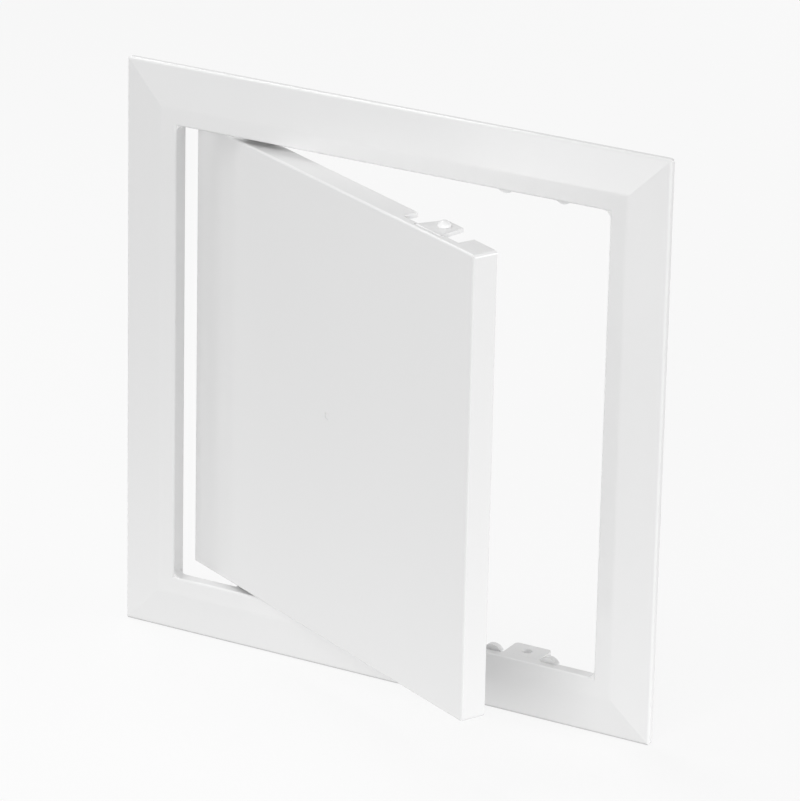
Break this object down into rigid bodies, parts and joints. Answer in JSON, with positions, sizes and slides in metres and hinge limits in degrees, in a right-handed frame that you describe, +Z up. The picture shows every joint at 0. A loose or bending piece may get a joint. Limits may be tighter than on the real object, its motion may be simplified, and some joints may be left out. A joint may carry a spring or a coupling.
{
  "type": "hinged access panel",
  "caption": "Square hinged access panel: white plastic frame covering a wall or ceiling cut-out, with a tray-shaped door that swings on pegs and snaps shut on sprung tongues.",
  "frame": {"origin": "centre of the opening, on the wall's surface that the frame's back rests on", "axes": "+X to the right seen from the room, +Y into the wall, +Z up along the hinge line; stored upright with the door standing open 26 degrees"},
  "size_m": [0.25, 0.0961, 0.25],
  "materials": {
    "white_plastic": "semi-gloss moulded white"
  },
  "bodies": {
    "frame": {"frame": "white_plastic", "upper_hinge_tab": "white_plastic", "lower_hinge_tab": "white_plastic", "upper_catch_tab": "white_plastic", "lower_catch_tab": "white_plastic"},
    "door": {"door": "white_plastic", "upper_hinge_arm": "white_plastic", "lower_hinge_arm": "white_plastic"},
    "upper_snap": {"upper_snap_tongue": "white_plastic"},
    "lower_snap": {"lower_snap_tongue": "white_plastic"}
  },
  "joints": [
    {"name": "door_hinge", "type": "hinge", "parent": "frame", "child": "door", "pos_m": [-0.064, 0.0054, 0], "axis": [0, 0, -1], "range_deg": [-26, 109]},
    {"name": "upper_snap_flex", "type": "hinge", "parent": "door", "child": "upper_snap", "pos_m": [0.04785, -0.05727, 0.0972], "axis": [-0.8988, 0.4384, 0], "range_deg": [0, 8], "stiffness_Nm_per_rad": 0.3},
    {"name": "lower_snap_flex", "type": "hinge", "parent": "door", "child": "lower_snap", "pos_m": [0.04785, -0.05727, -0.0972], "axis": [0.8988, -0.4384, 0], "range_deg": [0, 8], "stiffness_Nm_per_rad": 0.3}
  ]
}
